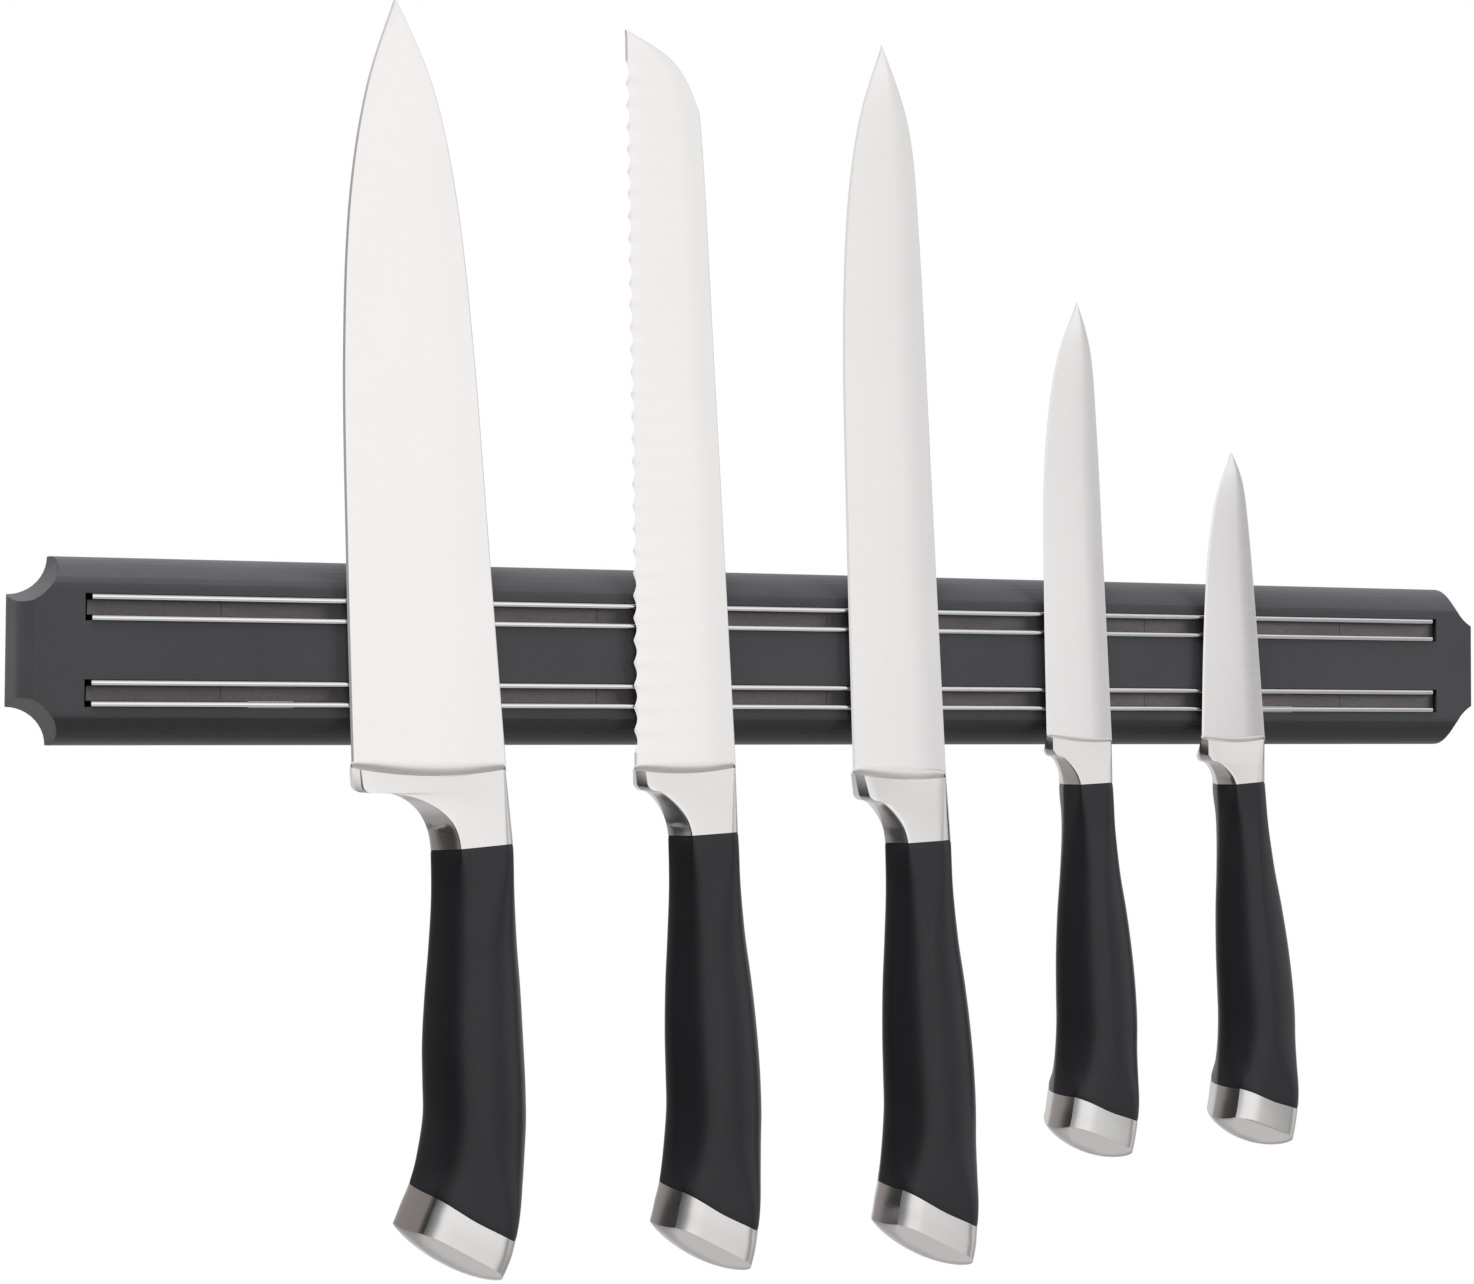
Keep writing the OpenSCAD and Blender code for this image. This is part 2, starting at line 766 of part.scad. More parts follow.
wall_bracket();
wall_screws();
wall_plugs();
front_housing();
rear_cover();
cover_screws();
upper_rail_top();
upper_rail_bottom();
lower_rail_top();
lower_rail_bottom();
upper_magnets();
lower_magnets();
chef_blade();
chef_bolster();
chef_grip();
chef_butt_cap();
bread_blade();
bread_bolster();
bread_grip();
bread_butt_cap();
carving_blade();
carving_bolster();
carving_grip();
carving_butt_cap();
utility_blade();
utility_bolster();
utility_grip();
utility_butt_cap();
paring_blade();
paring_bolster();
paring_grip();
paring_butt_cap();
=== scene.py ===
"""Looks of a wall-mounted magnetic knife rack and its five knives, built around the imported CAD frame."""

import math

import bmesh
import bpy
import numpy as np
from mathutils import Matrix, Vector


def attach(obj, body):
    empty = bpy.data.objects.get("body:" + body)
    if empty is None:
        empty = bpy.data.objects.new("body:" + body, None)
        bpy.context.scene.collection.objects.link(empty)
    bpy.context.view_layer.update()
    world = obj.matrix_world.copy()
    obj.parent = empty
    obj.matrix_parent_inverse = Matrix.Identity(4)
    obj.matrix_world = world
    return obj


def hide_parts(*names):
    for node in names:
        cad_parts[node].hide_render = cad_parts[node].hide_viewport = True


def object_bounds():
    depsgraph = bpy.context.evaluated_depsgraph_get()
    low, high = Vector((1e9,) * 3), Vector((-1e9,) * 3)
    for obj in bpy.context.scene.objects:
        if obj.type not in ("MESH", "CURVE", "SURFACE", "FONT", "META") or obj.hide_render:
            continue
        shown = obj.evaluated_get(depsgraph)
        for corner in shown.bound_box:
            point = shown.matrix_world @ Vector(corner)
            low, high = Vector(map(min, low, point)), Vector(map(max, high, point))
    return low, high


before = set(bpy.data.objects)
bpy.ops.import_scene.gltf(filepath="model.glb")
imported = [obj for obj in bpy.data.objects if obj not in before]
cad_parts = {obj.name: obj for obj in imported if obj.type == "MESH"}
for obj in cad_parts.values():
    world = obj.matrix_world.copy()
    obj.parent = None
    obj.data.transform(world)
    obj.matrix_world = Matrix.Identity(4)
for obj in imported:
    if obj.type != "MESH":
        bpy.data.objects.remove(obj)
cad_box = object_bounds()

MM = 0.001


# ---------------------------------------------------------------- camera, floor and light


# The camera's place in millimetres, its turns about the upright, its side and its own axis in degrees,
# and its lens
CAMERA_PLACE = (-212.3, -586.7, -12.7)
CAMERA_YAW = -18.04
CAMERA_PITCH = 1.62
CAMERA_ROLL = -0.28
CAMERA_LENS = 53.73


def add_camera():
    """The photograph's viewpoint: level with the rack, left of its centre, turned to the right."""
    data = bpy.data.cameras.new("camera")
    data.lens = CAMERA_LENS
    data.sensor_width = 36
    data.clip_start = 0.01
    data.clip_end = 50
    camera = bpy.data.objects.new("camera", data)
    bpy.context.scene.collection.objects.link(camera)
    camera.matrix_world = (
        Matrix.Translation(Vector(CAMERA_PLACE) * MM)
        @ Matrix.Rotation(math.radians(CAMERA_YAW), 4, "Z")
        @ Matrix.Rotation(math.radians(CAMERA_PITCH), 4, "X")
        @ Matrix.Rotation(math.radians(CAMERA_ROLL), 4, "Y")
        @ Matrix.Rotation(math.pi / 2, 4, "X")
    )
    bpy.context.scene.camera = camera


# The studio round the horizon: degrees from the front, positive to the right, then brightness and warmth
STUDIO = [
    (-180, 0.72, 0),
    (-150, 0.55, 0.4),
    (-124, 0.36, 1),
    (-106, 0.28, 1),
    (-88, 0.25, 1),
    (-74, 0.06, 1),
    (-50, 0.02, 0),
    (-30, 0.3, 0),
    (-14, 1.04, 0.1),
    (9, 1.1, 0.1),
    (20, 0.97, 0),
    (34, 0.32, 0),
    (60, 0.8, 0),
    (100, 0.5, 0),
    (150, 0.66, 0),
    (180, 0.72, 0),
]
# Softbox above the horizon, darker ceiling over it, darker floor and the lighter floor straight below
SOFTBOX = 0.96
OVERHEAD = 0.46
FLOOR_BOUNCE = 0.36
FLOOR_GLOW = 0.66
# How much of the studio reaches matt surfaces, beside the lamps
FILL = 0.34


def add_world():
    """A white studio: a broad softbox in front, a black flag on the left and a white surround behind."""
    world = bpy.data.worlds.new("studio")
    world.use_nodes = True
    bpy.context.scene.world = world
    nodes, links = world.node_tree.nodes, world.node_tree.links
    nodes.clear()
    place = nodes.new("ShaderNodeTexCoord")
    split = nodes.new("ShaderNodeSeparateXYZ")
    links.new(place.outputs["Generated"], split.inputs[0])
    front = maths(nodes, links, "MULTIPLY", split.outputs["Y"], -1.0)
    turn = maths(nodes, links, "ARCTAN2", split.outputs["X"], front)
    share = maths(nodes, links, "MULTIPLY_ADD", turn, 0.5 / math.pi, 0.5)
    ring = nodes.new("ShaderNodeValToRGB")
    ring.color_ramp.interpolation = "EASE"
    stops = ring.color_ramp.elements
    while len(stops) < len(STUDIO):
        stops.new(0.5)
    for stop, (angle, level, warmth) in zip(stops, STUDIO):
        stop.position = angle / 360 + 0.5
        stop.color = (level, level * (1 - 0.08 * warmth), level * (1 - 0.11 * warmth), 1)
    links.new(share, ring.inputs["Fac"])
    down = maths(nodes, links, "MULTIPLY", split.outputs["Z"], -1.0)
    dome = ring.outputs["Color"]
    # Each zone fades in over a range of heights, and over a range of how far ahead it lies, 1 being in front
    for level, height, levels, ahead in (
        (SOFTBOX, split.outputs["Z"], (0.32, 0.56), (0.05, 0.4)),
        (OVERHEAD, split.outputs["Z"], (0.64, 0.96), (-0.35, 0.0)),
        (FLOOR_BOUNCE, down, (0.18, 0.6), (-0.9, -0.6)),
        (FLOOR_GLOW, down, (0.7, 0.92), (-1.2, -1.1)),
    ):
        shares = []
        for value, (low, high) in ((height, levels), (front, ahead)):
            step = nodes.new("ShaderNodeMapRange")
            step.inputs["From Min"].default_value = low
            step.inputs["From Max"].default_value = high
            links.new(value, step.inputs["Value"])
            shares.append(step.outputs[0])
        there = maths(nodes, links, "MULTIPLY", *shares)
        dome = mixed_colour(nodes, links, there, dome, (level, level * 0.98, level * 0.97, 1))
    lit = nodes.new("ShaderNodeBackground")
    links.new(dome, lit.inputs["Color"])
    seen = nodes.new("ShaderNodeLightPath")
    strength = maths(nodes, links, "MULTIPLY_ADD", seen.outputs["Is Diffuse Ray"], FILL - 1.0, 1.0)
    links.new(strength, lit.inputs["Strength"])
    plain = nodes.new("ShaderNodeBackground")
    plain.inputs["Color"].default_value = (1, 1, 1, 1)
    both = nodes.new("ShaderNodeMixShader")
    links.new(seen.outputs["Is Camera Ray"], both.inputs["Fac"])
    links.new(lit.outputs[0], both.inputs[1])
    links.new(plain.outputs[0], both.inputs[2])
    out = nodes.new("ShaderNodeOutputWorld")
    links.new(both.outputs[0], out.inputs["Surface"])


def add_light(name, place, size, energy):
    """A soft rectangular lamp that faces the rack. Polished faces show the studio, not the lamp."""
    data = bpy.data.lights.new(name, "AREA")
    data.size = size
    data.energy = energy
    lamp = bpy.data.objects.new(name, data)
    bpy.context.scene.collection.objects.link(lamp)
    lamp.location = place
    lamp.rotation_euler = (-lamp.location).to_track_quat("-Z", "Y").to_euler()
    lamp.visible_glossy = False


def add_lights():
    """A key on the right in front of the rack, a top light above it and a spot that grazes its left end."""
    add_light("key", (1.5, -0.8, 0.5), 0.8, 50)
    add_light("top", (-0.28, -0.25, 1.15), 0.6, 38)
    data = bpy.data.lights.new("spot", "SPOT")
    data.energy = 16
    data.spot_size = math.radians(6)
    data.spot_blend = 1.0
    data.shadow_soft_size = 0.012
    spot = bpy.data.objects.new("spot", data)
    bpy.context.scene.collection.objects.link(spot)
    spot.visible_glossy = False
    spot.location = (-0.8, -0.06, 0.06)
    left_end = Vector((-0.214, -0.008, 0))
    spot.rotation_euler = (left_end - spot.location).to_track_quat("-Z", "Y").to_euler()


def add_floor():
    """A pale floor under the object that fades into the white surround."""
    mesh = bpy.data.meshes.new("floor")
    reach, level = 2.5, cad_box[0].z - 0.16
    mesh.from_pydata(
        [(-reach, -reach, level), (reach, -reach, level), (reach, reach, level), (-reach, reach, level)],
        [],
        [(0, 1, 2, 3)],
    )
    floor = bpy.data.objects.new("floor", mesh)
    bpy.context.scene.collection.objects.link(floor)
    material = bpy.data.materials.new("floor")
    material.use_nodes = True
    nodes, links = material.node_tree.nodes, material.node_tree.links
    nodes.clear()
    place = nodes.new("ShaderNodeTexCoord")
    length = nodes.new("ShaderNodeVectorMath")
    length.operation = "LENGTH"
    links.new(place.outputs["Object"], length.inputs[0])
    fade = nodes.new("ShaderNodeMapRange")
    fade.interpolation_type = "SMOOTHSTEP"
    fade.inputs["From Min"].default_value = 0.22
    fade.inputs["From Max"].default_value = 0.6
    links.new(length.outputs["Value"], fade.inputs["Value"])
    matt = nodes.new("ShaderNodeBsdfDiffuse")
    matt.inputs["Color"].default_value = (0.8, 0.8, 0.8, 1)
    clear = nodes.new("ShaderNodeBsdfTransparent")
    both = nodes.new("ShaderNodeMixShader")
    links.new(fade.outputs[0], both.inputs["Fac"])
    links.new(matt.outputs[0], both.inputs[1])
    links.new(clear.outputs[0], both.inputs[2])
    out = nodes.new("ShaderNodeOutputMaterial")
    links.new(both.outputs[0], out.inputs["Surface"])
    mesh.materials.append(material)
    floor.visible_glossy = False
    floor.visible_diffuse = False


# ---------------------------------------------------------------- node helpers


def maths(nodes, links, operation, *values):
    """A Math node. A value is a number or another node's output."""
    node = nodes.new("ShaderNodeMath")
    node.operation = operation
    for socket, value in zip(node.inputs, values):
        if isinstance(value, (int, float)):
            socket.default_value = value
        else:
            links.new(value, socket)
    return node.outputs[0]


def mixed_colour(nodes, links, factor, low, high, blend="MIX"):
    """A colour Mix node. A colour is four numbers or another node's output."""
    node = nodes.new("ShaderNodeMix")
    node.data_type = "RGBA"
    node.blend_type = blend
    for socket, value in zip((node.inputs[0], node.inputs[6], node.inputs[7]), (factor, low, high)):
        if isinstance(value, (int, float, tuple)):
            socket.default_value = value
        else:
            links.new(value, socket)
    return node.outputs[2]


class Finish:
    """A Principled material with the few node patterns that the pieces share."""

    def __init__(self, name, colour, roughness, metallic=0.0):
        self.material = bpy.data.materials.new(name)
        self.material.use_nodes = True
        self.nodes = self.material.node_tree.nodes
        self.links = self.material.node_tree.links
        self.shader = self.nodes["Principled BSDF"]
        self.shader.inputs["Metallic"].default_value = metallic
        self.shader.inputs["Base Color"].default_value = colour
        self.shader.inputs["Roughness"].default_value = roughness
        self.colour = colour
        self.roughness = roughness
        self.place = self.nodes.new("ShaderNodeTexCoord")
        self.bumps = []

    def noise(self, size, detail=3.0, stretch=(1, 1, 1)):
        """Noise whose features are about size metres across, drawn out along an axis by stretch."""
        mapping = self.nodes.new("ShaderNodeMapping")
        mapping.inputs["Scale"].default_value = tuple(1 / (size * s) for s in stretch)
        self.links.new(self.place.outputs["Object"], mapping.inputs["Vector"])
        noise = self.nodes.new("ShaderNodeTexNoise")
        noise.inputs["Scale"].default_value = 1.0
        noise.inputs["Detail"].default_value = detail
        self.links.new(mapping.outputs["Vector"], noise.inputs["Vector"])
        return noise.outputs["Fac"]

    def vary_colour(self, pattern, dark, light):
        """The base colour runs from dark to light times itself along a pattern."""
        ramp = self.nodes.new("ShaderNodeMapRange")
        ramp.inputs["From Min"].default_value = 0.3
        ramp.inputs["From Max"].default_value = 0.7
        ramp.inputs["To Min"].default_value = dark
        ramp.inputs["To Max"].default_value = light
        self.links.new(pattern, ramp.inputs["Value"])
        source = self.shader.inputs["Base Color"]
        before = source.links[0].from_socket if source.links else self.colour
        tint = self.nodes.new("ShaderNodeCombineColor")
        for socket in tint.inputs:
            self.links.new(ramp.outputs[0], socket)
        after = mixed_colour(self.nodes, self.links, 1.0, before, tint.outputs[0], "MULTIPLY")
        self.links.new(after, source)

    def vary_roughness(self, *patterns):
        """Roughness moves by each amount, in pairs of pattern and amount, around the finish's own value."""
        total = self.roughness
        for pattern, amount in patterns:
            part = maths(self.nodes, self.links, "MULTIPLY_ADD", pattern, 2 * amount, -amount)
            total = maths(self.nodes, self.links, "ADD", part, total)
        self.links.new(total, self.shader.inputs["Roughness"])

    def bump(self, pattern, depth):
        """Relief of about depth metres, on top of any relief added before."""
        node = self.nodes.new("ShaderNodeBump")
        node.inputs["Strength"].default_value = 1.0
        node.inputs["Distance"].default_value = depth
        self.links.new(pattern, node.inputs["Height"])
        if self.bumps:
            self.links.new(self.bumps[-1].outputs[0], node.inputs["Normal"])
        self.bumps.append(node)
        self.links.new(node.outputs[0], self.shader.inputs["Normal"])


# ---------------------------------------------------------------- finishes


def moulded_plastic(name, colour, roughness, grain=0.35 * MM, relief=0.006 * MM, gloss=0.38):
    """Moulded plastic: a fine spark-eroded grain with slow changes of sheen."""
    finish = Finish(name, colour, roughness)
    finish.shader.inputs["IOR"].default_value = 1.48
    finish.shader.inputs["Specular IOR Level"].default_value = gloss
    fine = finish.noise(grain, detail=4)
    slow = finish.noise(28 * MM, detail=2)
    finish.vary_colour(slow, 0.92, 1.08)
    finish.vary_roughness((fine, 0.06), (slow, 0.03))
    finish.bump(fine, relief)
    return finish


def brushed_steel(name, colour, roughness, stroke, width=0.16 * MM, relief=0.0012 * MM):
    """Satin steel: strokes drawn out along one axis, with slow changes of sheen."""
    finish = Finish(name, colour, roughness, metallic=1.0)
    strokes = finish.noise(width, detail=5, stretch=stroke)
    slow = finish.noise(22 * MM, detail=2)
    finish.vary_colour(strokes, 0.98, 1.01)
    finish.vary_colour(slow, 0.985, 1.01)
    finish.vary_roughness((strokes, 0.05), (slow, 0.02))
    finish.bump(strokes, relief)
    return finish


def housing_plastic():
    finish = moulded_plastic("housing_plastic", (0.033, 0.0336, 0.037, 1), 0.42)
    return finish.material


def cover_plastic():
    finish = moulded_plastic("cover_plastic", (0.022, 0.022, 0.024, 1), 0.55, grain=0.5 * MM)
    return finish.material


def grip_polymer():
    finish = moulded_plastic("grip_polymer", (0.013, 0.013, 0.0148, 1), 0.33, relief=0.003 * MM, gloss=0.36)
    return finish.material


def rail_steel():
    finish = brushed_steel("rail_steel", (0.86, 0.87, 0.88, 1), 0.2, (60, 1, 1), relief=0.0006 * MM)
    return finish.material


def magnet_ferrite():
    """Sintered ferrite: dull brown-grey with a gritty face and a few lighter scuffs."""
    finish = Finish("magnet_ferrite", (0.083, 0.073, 0.076, 1), 0.5)
    grit = finish.noise(0.6 * MM, detail=6)
    scuffs = finish.noise(5 * MM, detail=4, stretch=(6, 1, 1))
    finish.vary_colour(grit, 0.82, 1.15)
    finish.vary_colour(scuffs, 0.85, 1.25)
    finish.vary_roughness((grit, 0.1), (scuffs, 0.08))
    finish.bump(grit, 0.02 * MM)
    return finish.material


def blade_steel():
    """Stainless steel ground with strokes that run from the spine to the edge."""
    finish = brushed_steel("blade_steel", (0.87, 0.853, 0.851, 1), 0.26, (70, 70, 1))
    return finish.material


def bolster_steel():
    finish = brushed_steel("bolster_steel", (0.8, 0.79, 0.785, 1), 0.2, (12, 12, 1), relief=0.0003 * MM)
    return finish.material


# Painted shade: the caps are the same steel as the bolsters, but their colour is set darker so that the butt
# ends reflect less light
def cap_steel():
    finish = brushed_steel("cap_steel", (0.76, 0.75, 0.745, 1), 0.2, (12, 12, 1), relief=0.0003 * MM)
    return finish.material


def bracket_steel():
    """Zinc-plated sheet: faint spangle, slightly bluish."""
    finish = Finish("bracket_steel", (0.58, 0.6, 0.62, 1), 0.34, metallic=1.0)
    spangle = finish.noise(6 * MM, detail=5)
    fine = finish.noise(0.4 * MM, detail=3)
    finish.vary_colour(spangle, 0.86, 1.1)
    finish.vary_roughness((spangle, 0.12), (fine, 0.05))
    finish.bump(fine, 0.003 * MM)
    return finish.material


def screw_steel():
    finish = brushed_steel("screw_steel", (0.66, 0.66, 0.64, 1), 0.3, (1, 1, 8), width=0.3 * MM)
    return finish.material


def plug_nylon():
    finish = moulded_plastic("plug_nylon", (0.42, 0.43, 0.44, 1), 0.5, grain=0.6 * MM)
    finish.shader.inputs["Subsurface Weight"].default_value = 0.15
    finish.shader.inputs["Subsurface Scale"].default_value = 0.002
    return finish.material


# ---------------------------------------------------------------- rack pieces, taken from their CAD nodes


# Edges of a rack piece that turn by more than this many degrees are rounded, then those that stay crisp
ROUND_ABOVE = 32
CRISP_ABOVE = 40


def add_refined(node, body, material, edge):
    """A copy of a CAD node with true rounded edges, edge millimetres wide."""
    piece = bpy.data.objects.new(node + "_detail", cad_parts[node].data.copy())
    bpy.context.scene.collection.objects.link(piece)
    mesh = piece.data
    work = bmesh.new()
    work.from_mesh(mesh)
    bmesh.ops.remove_doubles(work, verts=work.verts, dist=0.002 * MM)
    bmesh.ops.dissolve_limit(
        work, angle_limit=math.radians(0.5), verts=work.verts, edges=work.edges, delimit={"NORMAL"}
    )
    work.to_mesh(mesh)
    work.free()
    mesh.materials.clear()
    mesh.materials.append(material)
    mesh.polygons.foreach_set("material_index", [0] * len(mesh.polygons))
    bevel = piece.modifiers.new("rounded_edges", "BEVEL")
    bevel.width = edge * MM
    bevel.segments = 2
    bevel.limit_method = "ANGLE"
    bevel.angle_limit = math.radians(ROUND_ABOVE)
    bevel.harden_normals = False
    mesh.shade_smooth()
    mesh.set_sharp_from_angle(angle=math.radians(CRISP_ABOVE))
    weights = piece.modifiers.new("flat_faces", "WEIGHTED_NORMAL")
    weights.keep_sharp = True
    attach(piece, body)
    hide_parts(node)


def add_rack():
    add_refined("front_housing", "rack", housing_plastic(), edge=0.35)
    add_refined("rear_cover", "rack", cover_plastic(), edge=0.25)
    rails, ferrite, screws = rail_steel(), magnet_ferrite(), screw_steel()
    for row in ("upper", "lower"):
        add_refined(row + "_rail_top", "rack", rails, edge=0.12)
        add_refined(row + "_rail_bottom", "rack", rails, edge=0.12)
    for row in ("upper", "lower"):
        add_refined(row + "_magnets", "rack", ferrite, edge=0.04)
    add_refined("cover_screws", "rack", screws, edge=0.08)
    add_refined("wall_bracket", "wall_mount", bracket_steel(), edge=0.3)
    add_refined("wall_screws", "wall_mount", screws, edge=0.08)
    add_refined("wall_plugs", "wall_mount", plug_nylon(), edge=0.15)


# ---------------------------------------------------------------- shapes


def mix(a, b, t):
    """a at t = 0, b at t = 1."""
    return a + (b - a) * t


def ease(t):
    """t held between 0 and 1, with a soft start and a soft end."""
    t = np.clip(t, 0, 1)
    return t * t * (3 - 2 * t)


def ease_between(value, start, end):
    """0 up to start and 1 from end on, with a soft step between them."""
    return float(ease((value - start) / (end - start)))


def curve(points, steps):
    """Smooth curve through a list of points, steps pieces between neighbours."""
    points = np.array(points, float)
    last = len(points) - 1
    made = []
    for i in range(last):
        p0, p1 = points[max(i - 1, 0)], points[i]
        p2, p3 = points[i + 1], points[min(i + 2, last)]
        for t in np.arange(steps) / steps:
            slope = p2 - p0
            square = 2 * p0 - 5 * p1 + 4 * p2 - p3
            cubic = 3 * p1 - p0 - 3 * p2 + p3
            made.append(0.5 * (2 * p1 + slope * t + square * t**2 + cubic * t**3))
    made.append(points[last])
    return np.array(made)


def bezier(p0, p1, p2, count):
    """Points of the quadratic arc from p0 to p2 that is drawn towards p1, both ends included."""
    t = np.linspace(0, 1, count)[:, None]
    p0, p1, p2 = np.array(p0), np.array(p1), np.array(p2)
    return p0 * (1 - t) ** 2 + 2 * p1 * t * (1 - t) + p2 * t**2


def skin(rings):
    """Points and faces of a solid through rings of equal length, each end closed by a fan."""
    size, last = len(rings[0]), (len(rings) - 1) * len(rings[0])
    points = [tuple(p) for ring in rings for p in ring]
    faces = []
    for a in range(0, last, size):
        b = a + size
        faces += [(a + i, a + (i + 1) % size, b + (i + 1) % size, b + i) for i in range(size)]
    points.append(tuple(np.mean(rings[0], axis=0)))
    faces += [((i + 1) % size, i, len(points) - 1) for i in range(size)]
    points.append(tuple(np.mean(rings[-1], axis=0)))
    faces += [(last + i, last + (i + 1) % size, len(points) - 1) for i in range(size)]
    return points, faces


def add_knife_piece(label, part, shells, matrix, material):
    """One part of a knife from shells of (points, faces) in millimetres, set in place by a matrix."""
    node, body = label + "_" + part, label + "_knife"
    slot, sharp = KNIFE_PARTS[part]
    points, faces = [], []
    for shell_points, shell_faces in shells:
        start = len(points)
        points += [tuple(c * MM for c in p) for p in shell_points]
        faces += [tuple(start + i for i in face) for face in shell_faces]
    mesh = bpy.data.meshes.new(node + "_detail")
    mesh.from_pydata(points, [], faces)
    work = bmesh.new()
    work.from_mesh(mesh)
    bmesh.ops.remove_doubles(work, verts=work.verts, dist=0.001 * MM)
    bmesh.ops.dissolve_degenerate(work, edges=work.edges, dist=0.001 * MM)
    bmesh.ops.recalc_face_normals(work, faces=work.faces)
    work.to_mesh(mesh)
    work.free()
    mesh.transform(matrix)
    mesh.materials.append(material)
    mesh.shade_smooth()
    mesh.set_sharp_from_angle(angle=math.radians(sharp))
    piece = bpy.data.objects.new(node + "_detail", mesh)
    bpy.context.scene.collection.objects.link(piece)
    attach(piece, body)
    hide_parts(node)


# ---------------------------------------------------------------- knives
# A knife is built in its own frame, in millimetres: the origin is the spine end of the bolster's top edge,
# +Z runs along the spine to the tip, -X points to the cutting edge, Y is the thickness.

# The parts of a knife: material slot, and the turn in degrees above which an edge stays crisp
KNIFE_PARTS = {
    "blade": ("blade_steel", 9),
    "bolster": ("bolster_steel", 26),
    "grip": ("grip_polymer", 50),
    "butt_cap": ("cap_steel", 28),
}

# Thickness of a blade, its middle's place in front of the wall, and the full half thickness of a grip
BLADE_T = 2.2
BLADE_Y = -18.45
GRIP_HALF_T = 11.2

